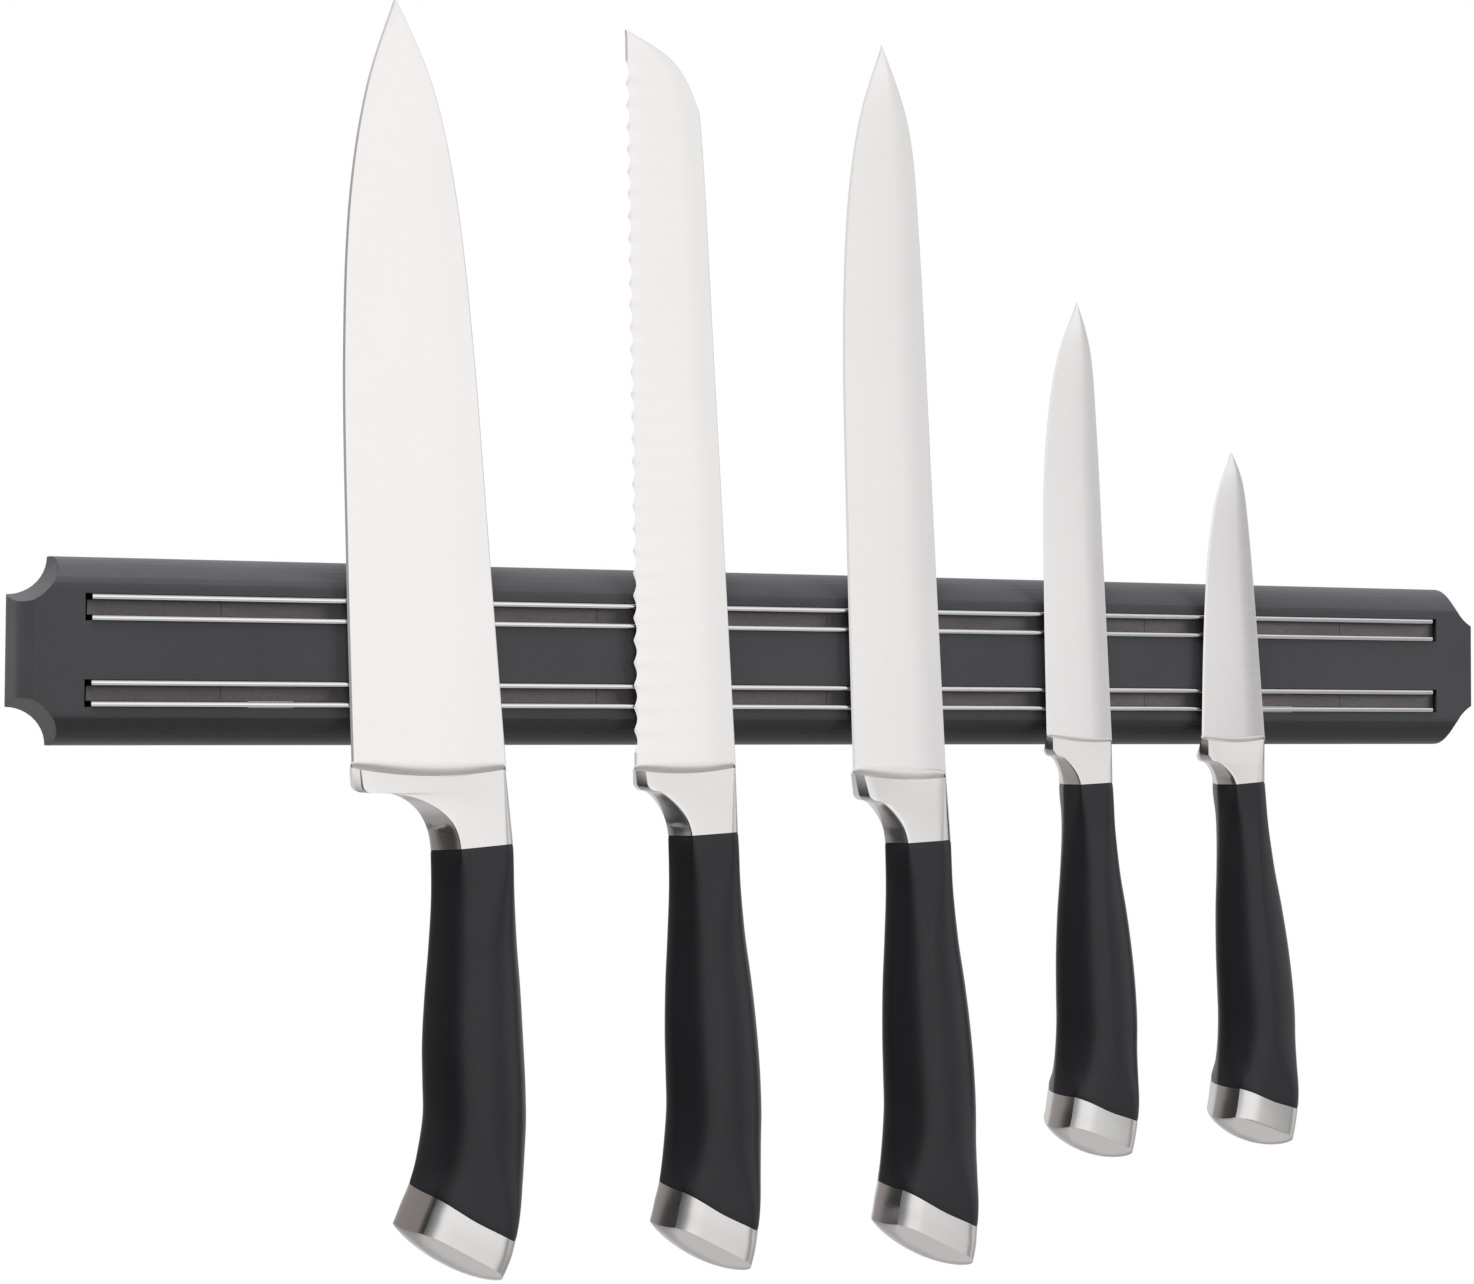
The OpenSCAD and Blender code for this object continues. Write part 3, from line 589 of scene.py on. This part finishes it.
# What the entries of a knife say, in millimetres and degrees:
#   place, lean    the origin's x and z on the rack, and how far the tip leans to the left
#   neck_depth, heel_depth, butt_depth    how far the end of the bolster, the heel and the butt lie below
#       the origin
#   half_widths, centres    of the handle at the neck, belly and butt, centres measured from the spine
#   butt_slant, thickness    tilt of the butt, and thickness of the handle as a share of the full one
#   fold, fold_rise    slope of the bolster's top edge, and how far it is raised above the origin
#   crest, bow    how far that top edge stands out of the blade, and how far it sags
#   fillet    height of the fillet above it, at its ends and in the middle
#   crease, facet    width of the neck's facet, and how curved it is
#   scoop    fullness of the underside's curve
#   heel_flare, heel_facet    how far the heel spreads, and its facet's width and the share of the half
#       thickness that stays upright beside it
#   spine_facet    width and fullness of the rounding along the spine at the neck
#   edge, spine    outline of the blade, as points along and across it
#   scallops    where a scalloped edge starts and ends
KNIVES = {
    "chef": {
        "place": (-90.8, -30.6),
        "lean": 4.96,
        "neck_depth": 18.5,
        "heel_depth": 1.9,
        "butt_depth": 121.9,
        "half_widths": (10.3, 13.6, 15.4),
        "centres": (11.1, 14.9, 26.2),
        "butt_slant": 38,
        "thickness": 1.0,
        "fold": 5.5,
        "fold_rise": 0.7,
        "crease": 6.2,
        "scoop": 2.4,
        "facet": 0.3,
        "heel_flare": 0,
        "crest": 1.6,
        "bow": 1.9,
        "fillet": (1.0, 3.7),
        "heel_facet": (2.0, 0.76),
        "spine_facet": (2.6, 2.2),
        "edge": [(0, 40.3), (60, 37.3), (110, 34.2), (150, 29.7), (180, 22.9), (203.8, 13.5)],
        "spine": [(0, 0), (60, 0), (110, 0), (150, 1.3), (180, 5.3), (203.8, 13.5)],
    },
    "bread": {
        "place": (-27.6, -30.1),
        "lean": 3.5,
        "neck_depth": 16.7,
        "heel_depth": 4.2,
        "butt_depth": 126.5,
        "half_widths": (8.95, 13.2, 14.3),
        "centres": (10.9, 11, 18.6),
        "butt_slant": 35,
        "thickness": 0.98,
        "fold": 2,
        "fold_rise": 0.4,
        "crease": 4.2,
        "scoop": 1.7,
        "facet": 0.14,
        "heel_flare": 0,
        "crest": 1.5,
        "bow": 1.2,
        "fillet": (0.9, 3.2),
        "heel_facet": (2.3, 0.52),
        "spine_facet": (2.6, 2.2),
        "edge": [(0, 28.3), (70, 25.1), (140, 22.4), (200.5, 20)],
        "spine": [(0, 0), (100, 0), (168, 0), (182, 1.5), (192.5, 7.4), (200.5, 20)],
        "scallops": (6, 192),
    },
    "carving": {
        "place": (34.2, -32.7),
        "lean": 3.2,
        "neck_depth": 17.1,
        "heel_depth": 5,
        "butt_depth": 127.7,
        "half_widths": (8.7, 13.3, 14.6),
        "centres": (10.2, 9.6, 15.9),
        "butt_slant": 33,
        "thickness": 0.98,
        "fold": 5,
        "fold_rise": 0,
        "crease": 3.5,
        "scoop": 1.8,
        "facet": 0.14,
        "heel_flare": -0.6,
        "crest": 1.6,
        "bow": 1.0,
        "fillet": (1.0, 3.7),
        "heel_facet": (2.2, 0.54),
        "spine_facet": (3.6, 1.5),
        "edge": [(0, 27.5), (70, 25.9), (120, 24.3), (157, 21.3), (184, 16.2), (205.3, 8.3)],
        "spine": [(0, 0), (80, 0), (150, 0), (182, 1.5), (205.3, 8.3)],
    },
    "utility": {
        "place": (85.8, -22.8),
        "lean": 3.05,
        "neck_depth": 11.4,
        "heel_depth": 3.3,
        "butt_depth": 112.8,
        "half_widths": (6.4, 11.9, 11.8),
        "centres": (9.15, 8.9, 15),
        "butt_slant": 28,
        "thickness": 0.92,
        "fold": 6.5,
        "fold_rise": 0,
        "crease": 1.8,
        "scoop": 1.6,
        "facet": 0.14,
        "heel_flare": 0.7,
        "crest": 0.95,
        "bow": 0.7,
        "fillet": (0.8, 1.6),
        "heel_facet": (1.1, 0.08),
        "spine_facet": (2.6, 2.0),
        "edge": [(0, 20.2), (45, 18.8), (80, 16.8), (108, 11.9), (126.5, 4.1)],
        "spine": [(0, 0), (50, 0), (90, 0), (112, 0.7), (126.5, 4.1)],
    },
    "paring": {
        "place": (135.9, -22.8),
        "lean": 4.6,
        "neck_depth": 11.3,
        "heel_depth": 4.5,
        "butt_depth": 112.3,
        "half_widths": (6.4, 11.5, 11.3),
        "centres": (9.9, 9.3, 15.8),
        "butt_slant": 28,
        "thickness": 0.9,
        "fold": 4,
        "fold_rise": 0.8,
        "crease": 2,
        "scoop": 1.6,
        "facet": 0.14,
        "heel_flare": 1.1,
        "crest": 1.1,
        "bow": 1.0,
        "fillet": (0.8, 1.8),
        "heel_facet": (1.2, 0.08),
        "spine_facet": (3.4, 1.5),
        "edge": [(0, 20.6), (30, 17.6), (55, 14.2), (72, 10.1), (85.5, 3.8)],
        "spine": [(0, 0), (30, 0), (60, 0.1), (76, 0.9), (85.5, 3.8)],
    },
}

# Stations of a handle from the neck to the butt: share of the length, pull to the belly's centre, pull to the
# butt's centre, growth from neck to belly width, growth from belly to butt width, slant, thickness
STATIONS = [
    (0, 0, 0, 0, 0, 0, 0.68),
    (0.12, 0.14, 0, 0.1, 0, 0, 0.73),
    (0.24, 0.35, 0, 0.36, 0, 0, 0.79),
    (0.36, 0.6, 0, 0.66, 0, 0.03, 0.85),
    (0.485, 0.85, 0, 0.87, 0, 0.13, 0.91),
    (0.6, 0.96, 0.01, 0.97, 0, 0.28, 0.96),
    (0.7, 0.93, 0.07, 1, 0.05, 0.47, 0.98),
    (0.82, 0.7, 0.3, 1, 0.4, 0.79, 1),
    (0.9, 0.47, 0.53, 1, 0.84, 1.04, 1.01),
    (0.95, 0.25, 0.75, 1, 1, 0.98, 1.01),
    (1, 0, 1, 1, 0.95, 0.95, 1),
]
SEAM_STATION = 8
STATION_STEPS = 8

# Where bolster and grip meet: the crease's share of the thickness, the corner beside it and the depth of the
# spine's rounding
NECK_CREASE_LOW = 0.92
NECK_CORNER = 0.5
NECK_SPINE_T = 2.2

# Points of a handle's cross-section, for each half
SPINE_N = 19
FRONT_N = 10
CORNER_N = 8
FACET_N = 12


def section(w, t, crease_in, crease_low, corner, spine_w, spine_t, fullness, straight, side=0.0):
    """Closed cross-section of a handle as (across, thick), across from the spine at -w to the belly at +w.
    The spine's rounding is spine_w wide and spine_t deep. A facet runs from the belly to a crease, crease_in
    from the belly and crease_low of the thickness; a corner leads from the crease to the almost flat front.
    The facet is flat and stops side short of the middle if side is more than 0. Otherwise it reaches the
    middle and is curved, but less so the smaller straight is."""
    turn = np.linspace(0, math.pi / 2, SPINE_N - 3, endpoint=False)
    back = np.stack([np.full(3, -w), np.linspace(0, t - spine_t, 3, endpoint=False)], axis=1)
    reach = (np.cos(turn) ** fullness + np.sin(turn) ** fullness) ** (-1 / fullness)
    round_across = spine_w * (1 - reach * np.cos(turn)) - w
    round_thick = t - spine_t * (1 - reach * np.sin(turn))
    rounding = np.stack([round_across, round_thick], axis=1)
    crease = np.array([w - crease_in, t * crease_low])
    front_start, front_end = spine_w - w, w - crease_in - corner
    across = np.linspace(front_start, front_end, FRONT_N, endpoint=False)
    crown = 0.02 * t
    fall = ((across - front_start) / (front_end - front_start)) ** 2
    front = np.stack([across, t - crown * fall], axis=1)
    start = np.array([front_end, t - crown])
    turn_point = np.array([front_end + 0.55 * corner, t - 1.6 * crown])
    rounded = bezier(start, turn_point, crease, CORNER_N + 1)[:-1]
    bend = (crease + (w, side)) / 2 if side else (w, straight * crease[1])
    facet = np.concatenate([bezier(crease, bend, (w, side), FACET_N), [(w, 0)]])
    half = np.concatenate([back, rounding, front, rounded, facet])
    other = half[1:-1][::-1] * (1, -1)
    return np.concatenate([half, other])


def softened(ring, amount, passes=16):
    """The same cross-section with its corners rounded off, by amount from 0 to 1, at its full width."""
    soft = ring.copy()
    for _ in range(passes):
        soft = 0.5 * soft + 0.25 * (np.roll(soft, 1, axis=0) + np.roll(soft, -1, axis=0))
    for axis in (0, 1):
        low, high = soft[:, axis].min(), soft[:, axis].max()
        want_low, want_high = ring[:, axis].min(), ring[:, axis].max()
        soft[:, axis] = want_low + (soft[:, axis] - low) * (want_high - want_low) / (high - low)
    return mix(ring, soft, amount)


def placed(ring, depth, centre, slant, lift=0.0):
    """A cross-section in the knife's frame: tilted by slant, at a depth below the origin, raised by lift."""
    tilt = math.radians(slant)
    across, thick = ring[:, 0], ring[:, 1]
    x = -centre - across * math.cos(tilt) + lift * math.sin(tilt)
    z = -depth + across * math.sin(tilt) + lift * math.cos(tilt)
    return np.stack([x, thick, z], axis=1)


# The seam dips at the belly and lifts at the spine, the rim of the butt is drawn up on both faces, and its
# end is domed
SEAM_DIP = 1.6
SEAM_LIFT = 1.1
RIM_RISE = 3.2
DOME_RISE = 2.9
SEAM_SHARE = STATIONS[SEAM_STATION][0]


def handle_centre(knife, belly_pull, butt_pull):
    """How far the handle's middle lies from the spine, between its values at the neck, belly and butt."""
    neck_c, belly_c, butt_c = knife["centres"]
    return neck_c * (1 - belly_pull - butt_pull) + belly_c * belly_pull + butt_c * butt_pull


def handle_ring(knife, station, inset=0.0):
    """Ring of the handle at one station, inset millimetres inside its surface."""
    share, belly_pull, butt_pull, belly_growth, butt_growth, slant, thickness = station
    neck_w, belly_w, butt_w = knife["half_widths"]
    depth = mix(knife["neck_depth"], knife["butt_depth"], share)
    w = mix(neck_w, belly_w, belly_growth) + (butt_w - belly_w) * butt_growth - inset
    t = GRIP_HALF_T * knife["thickness"] * thickness - inset

    # The cross-section changes from the neck's to the belly's, then to the butt's
    to_butt = ease_between(share, 0.7, SEAM_SHARE)
    from_neck = ease_between(share, 0, 0.3)
    sharp_neck = ease_between(share, 0, 0.12)

    def blend(at_neck, at_belly, at_butt):
        return mix(at_neck, mix(at_belly, at_butt, to_butt), from_neck)

    neck_spine_w, neck_fullness = knife["spine_facet"]
    shape = section(
        w,
        t,
        crease_in=blend(knife["crease"], 0.5 * w, 0.9 + 0.7 * knife["crease"]),
        crease_low=blend(NECK_CREASE_LOW, 0.86, 0.8),
        corner=mix(NECK_CORNER, mix(5.0, 6.5, to_butt), sharp_neck),
        spine_w=blend(neck_spine_w, 0.95 * w, 0.35 * w),
        spine_t=blend(NECK_SPINE_T, 0.97 * t, 0.5 * t),
        fullness=blend(neck_fullness, 3.0, 3.0),
        straight=blend(knife["facet"], 0.38, 0.14),
    )
    ring = softened(shape, sharp_neck * (1 - ease_between(share, 0.8, 0.9)))

    # The ring leaves its plane where the seam and the rim are drawn up or down
    front = (ring[:, 1] / t) ** 2
    belly, spine = ease(ring[:, 0] / w), ease(-ring[:, 0] / w)
    rim = ease_between(share, SEAM_SHARE, 1)
    seam = ease_between(share, 0.6, SEAM_SHARE) * (1 - rim)
    lift = seam * (SEAM_LIFT * spine - SEAM_DIP * belly * (1 - front)) + RIM_RISE * rim * front
    return placed(ring, depth, handle_centre(knife, belly_pull, butt_pull), knife["butt_slant"] * slant, lift)


def handle_stations():
    """Stations of the grip and of the butt cap: one smooth run, cut at the seam."""
    stations = curve(STATIONS, STATION_STEPS)
    seam = SEAM_STATION * STATION_STEPS
    return stations[: seam + 1], stations[seam:]


def add_grip(label, knife, matrix, material):
    """Moulded grip, with its two ends drawn in by a hair where it meets the steel."""
    stations, _ = handle_stations()
    rings = [handle_ring(knife, stations[0], inset=0.12)]
    rings += [handle_ring(knife, s) for s in stations[1:-1]]
    rings += [handle_ring(knife, stations[-1], inset=0.1)]
    add_knife_piece(label, "grip", [skin(rings)], matrix, material)


def add_butt_cap(label, knife, matrix, material):
    """Steel cap that carries on the grip's surface and closes in a shallow dome."""
    _, stations = handle_stations()
    # The first ring is drawn in, which leaves a fine groove at the seam
    rings = [handle_ring(knife, stations[0], inset=0.3)]
    rings += [mix(handle_ring(knife, stations[0]), handle_ring(knife, stations[1]), 0.2)]
    rings += [handle_ring(knife, s) for s in stations[1:]]
    # Inwards from the rim, the end levels out and rises to the dome
    rim = rings[-1]
    tilt = math.radians(knife["butt_slant"] * stations[-1][5])
    out = np.array([-math.sin(tilt), 0, -math.cos(tilt)])
    middle = np.array([-knife["centres"][2], 0, -knife["butt_depth"]])
    spread = rim - middle
    level = (spread @ out)[:, None]
    flat = spread - level * out
    for grow in (0.985, 0.93, 0.84, 0.72, 0.58, 0.42, 0.25, 0.1):
        rise = DOME_RISE * (1 - grow**2) ** 0.8
        rings.append(middle + flat * grow + out * (level * grow**2 + rise))
    add_knife_piece(label, "butt_cap", [skin(rings)], matrix, material)


# Half thickness of a blade at its edge, before the sharpened bevel, and at its tip
EDGE_HALF = 0.24
TIP_HALF = 0.55
# Rounding of a blade's spine, and width of the bevel
SPINE_ROUND = 0.3
BEVEL_W = 0.6
# Where the grind starts, as a share of the width from the spine, and how hollow it is
GRIND_START = 0.25
GRIND_POWER = 1.12
# Over how much of its length from the heel a blade's cross-section turns from the fold's slope to square
FOLD_FADE = 45
SCALLOP_PITCH = 6.0
SCALLOP_DEPTH = 0.9
# Rings of a blade, which lie closer towards the tip
BLADE_RINGS = 150
SCALLOPED_RINGS = 420

# Radius of the heel's corner on a bolster, and at its lip the rounding of the spine, how far the lip stays
# inside the blade's spine, and the share of the outline over which its bow fades out
HEEL_CORNER = 2.2
LIP_ROUND = 0.8
LIP_INSET = 0.5
BOW_FADE = 0.7


def bowed(across, half_w):
    """1 in the middle of the fold, falling to 0 at its ends."""
    return np.clip(1 - (across / half_w) ** 2, 0, 1)


def belly_path(knife, heel_w):
    """The bolster's outline on the cutting edge's side: straight heel, rounded corner, scoop to the neck.
    Returns points as (across, depth), and how far along the path its corner ends."""
    neck_w, neck_c = knife["half_widths"][0], knife["centres"][0]
    start = -heel_w * math.tan(math.radians(knife["fold"])) - knife["fold_rise"]
    low, flare = knife["heel_depth"], knife["heel_flare"]
    straight = [(heel_w + flare * t, mix(start, low - HEEL_CORNER, t)) for t in np.linspace(0, 1, 6)]
    turns = np.linspace(0, math.pi / 2, 9)[1:]
    middle = (heel_w + flare - HEEL_CORNER, low - HEEL_CORNER)
    corner = [(middle[0] + HEEL_CORNER * math.cos(t), middle[1] + HEEL_CORNER * math.sin(t)) for t in turns]
    power = 2 / knife["scoop"]
    neck_high, drop = neck_c + neck_w, knife["neck_depth"] - low
    scoop = [
        (
            mix(middle[0], neck_high, math.sin(t) ** power),
            low + drop * (1 - max(math.cos(t), 0) ** power),
        )
        for t in np.linspace(0, math.pi / 2, 24)[1:]
    ]
    path = np.array(straight + corner + scoop)
    run = np.concatenate([[0], np.cumsum(np.hypot(*np.diff(path, axis=0).T))])
    return path, run / run[-1], run[len(straight) + len(corner) - 1] / run[-1]


def fillet_rings(knife, lip):
    """Rings of the hollow fillet, from its top on the ground blade down to lip, the bolster's first ring."""
    heel_w = knife["edge"][0][1]
    bow = bowed(lip[:, 0] + heel_w / 2, heel_w / 2) ** 0.5
    grind = GRIND_START * heel_w
    ground = np.clip((-lip[:, 0] - grind) / (heel_w - BEVEL_W - grind), 0, 1)
    blade_half = mix(BLADE_T / 2, EDGE_HALF, ground**GRIND_POWER) - 0.02
    rings = []
    for height in (1, 0.85, 0.7, 0.55, 0.42, 0.3, 0.2, 0.1):
        ring = lip.copy()
        squeeze = np.clip(np.abs(lip[:, 1]) - blade_half, 0, None) * (1 - (1 - height) ** 2)
        ring[:, 1] = np.sign(lip[:, 1]) * (np.abs(lip[:, 1]) - squeeze)
        ring[:, 2] += mix(*knife["fillet"], bow) * height
        rings.append(ring)
    return rings


def add_bolster(label, knife, matrix, material):
    """Bowed fillet on the blade, flat front that thickens to the neck, and scooped underside."""
    neck_w, neck_c, heel_w = knife["half_widths"][0], knife["centres"][0], knife["edge"][0][1]
    neck_low = neck_c - neck_w
    thin = BLADE_T / 2 + knife["crest"]
    thick = GRIP_HALF_T * knife["thickness"] * STATIONS[0][6]
    path, runs, heel_end = belly_path(knife, heel_w)
    facet_w, facet_side = knife["heel_facet"]
    neck_spine_w, fullness = knife["spine_facet"]
    rings = []
    for (high, belly_depth), run in zip(path, runs):
        low = mix(LIP_INSET, neck_low, run)
        spine_depth = mix(-knife["fold_rise"], knife["neck_depth"], run)
        slant = math.atan2(spine_depth - belly_depth, high - low)
        w = (high - low) / 2 / math.cos(slant)
        t = mix(thin, thick, run)
        after_heel = max(run - heel_end, 0) / (1 - heel_end)
        to_neck = float(ease(1.3 * after_heel))
        shape = section(
            w,
            t,
            crease_in=mix(facet_w, knife["crease"], to_neck),
            crease_low=NECK_CREASE_LOW,
            corner=NECK_CORNER,
            spine_w=mix(LIP_ROUND, neck_spine_w, run),
            spine_t=mix(LIP_ROUND, NECK_SPINE_T, run),
            fullness=fullness,
            straight=knife["facet"],
            side=facet_side * t * (1 - to_neck),
        )
        ring = placed(shape, (spine_depth + belly_depth) / 2, (low + high) / 2, math.degrees(slant))
        fold_line = knife["fold_rise"] - ring[:, 0] * math.tan(math.radians(knife["fold"]))
        below = np.clip((fold_line - ring[:, 2]) / (fold_line + knife["neck_depth"]), 0, 1)
        ring[:, 1] *= mix(thin, thick, below) / t
        ring[:, 2] -= knife["bow"] * max(1 - run / BOW_FADE, 0) ** 2 * bowed(shape[:, 0], w)
        rings.append(ring)
    add_knife_piece(label, "bolster", [skin(fillet_rings(knife, rings[0]) + rings)], matrix, material)


def scallop(knife, u):
    """How far the hollow between two teeth cuts into the edge at u, as a share of its depth."""
    start, end = knife.get("scallops", (0, 0))
    if not start < u < end:
        return 0.0
    return abs(math.sin(math.pi * (u - start) / SCALLOP_PITCH)) ** 1.2


def add_blade(label, knife, matrix, material):
    """Blade ground from the spine to a thin edge with a fine sharpened bevel, in one piece with its tang."""
    edge, spine = curve(knife["edge"], 16), curve(knife["spine"], 16)
    length = spine[-1][0]
    heel_w = knife["edge"][0][1]
    shares = np.linspace(0, 1, SCALLOPED_RINGS if "scallops" in knife else BLADE_RINGS)
    rings = []
    for u in length * (1 - (1 - shares) ** 1.35):
        slide = heel_w * math.tan(math.radians(knife["fold"])) * max(1 - u / FOLD_FADE, 0)
        top = np.interp(u, spine[:, 0], spine[:, 1])
        at = min(u + slide, length)
        hollow = scallop(knife, at)
        bottom = np.interp(at, edge[:, 0], edge[:, 1]) - SCALLOP_DEPTH * hollow
        width = max(bottom - top, 0.02)
        taper = mix(1, TIP_HALF / (BLADE_T / 2), min(max(u / length - 0.4, 0) / 0.6, 1))
        point = min(width / 5, 1) ** 0.5
        half = BLADE_T / 2 * taper * point
        thin = min(EDGE_HALF, half * 0.6)
        bevel = min(BEVEL_W + 1.6 * hollow, width * 0.25)
        rim = min(SPINE_ROUND, half * 0.5, width * 0.1)
        grind = min(GRIND_START * width, width - bevel)
        profile = [
            (0, half - rim),
            (rim * 0.3, half - rim * 0.3),
            (rim, half),
            (mix(rim, grind, 0.5), half),
            (grind, half),
        ]
        for share in (0.12, 0.3, 0.5, 0.7, 0.88):
            profile.append((mix(grind, width - bevel, share), mix(half, thin, share**GRIND_POWER)))
        profile += [(width - bevel, thin), (width, 0.03 * point)]
        front = np.array(profile)
        back = front[::-1] * (1, -1)
        ring = np.concatenate([front, back])
        across = ring[:, 0]
        z = u + slide * across / width
        rings.append(np.stack([-(top + across), -ring[:, 1], z], axis=1))
    add_knife_piece(label, "blade", [skin(rings), tang(knife)], matrix, material)


def tang(knife):
    """The tang that runs from the fold through the bolster and the grip into the butt cap."""
    half_w, half_t = 4.0, 0.9
    box = np.array([(half_w, half_t), (half_w, -half_t), (-half_w, -half_t), (-half_w, half_t)])
    share, belly_pull, butt_pull = STATIONS[SEAM_STATION][:3]
    neck_centre, end_centre = knife["centres"][0], handle_centre(knife, belly_pull, butt_pull)
    end_depth = mix(knife["neck_depth"], knife["butt_depth"], share)
    return skin(
        [
            placed(box, -1.0, neck_centre, 0),
            placed(box, knife["neck_depth"], neck_centre, 0),
            placed(box, end_depth, end_centre, knife["butt_slant"]),
        ]
    )


def add_knives():
    steel, forged, polymer, cap = blade_steel(), bolster_steel(), grip_polymer(), cap_steel()
    for label, knife in KNIVES.items():
        x, z = knife["place"]
        matrix = Matrix.Translation(Vector((x, BLADE_Y, z)) * MM) @ Matrix.Rotation(
            math.radians(-knife["lean"]), 4, "Y"
        )
        add_blade(label, knife, matrix, steel)
        add_bolster(label, knife, matrix, forged)
        add_grip(label, knife, matrix, polymer)
        add_butt_cap(label, knife, matrix, cap)


bpy.context.scene.view_settings.view_transform = "Standard"
add_camera()
add_world()
add_lights()
add_floor()
add_rack()
add_knives()
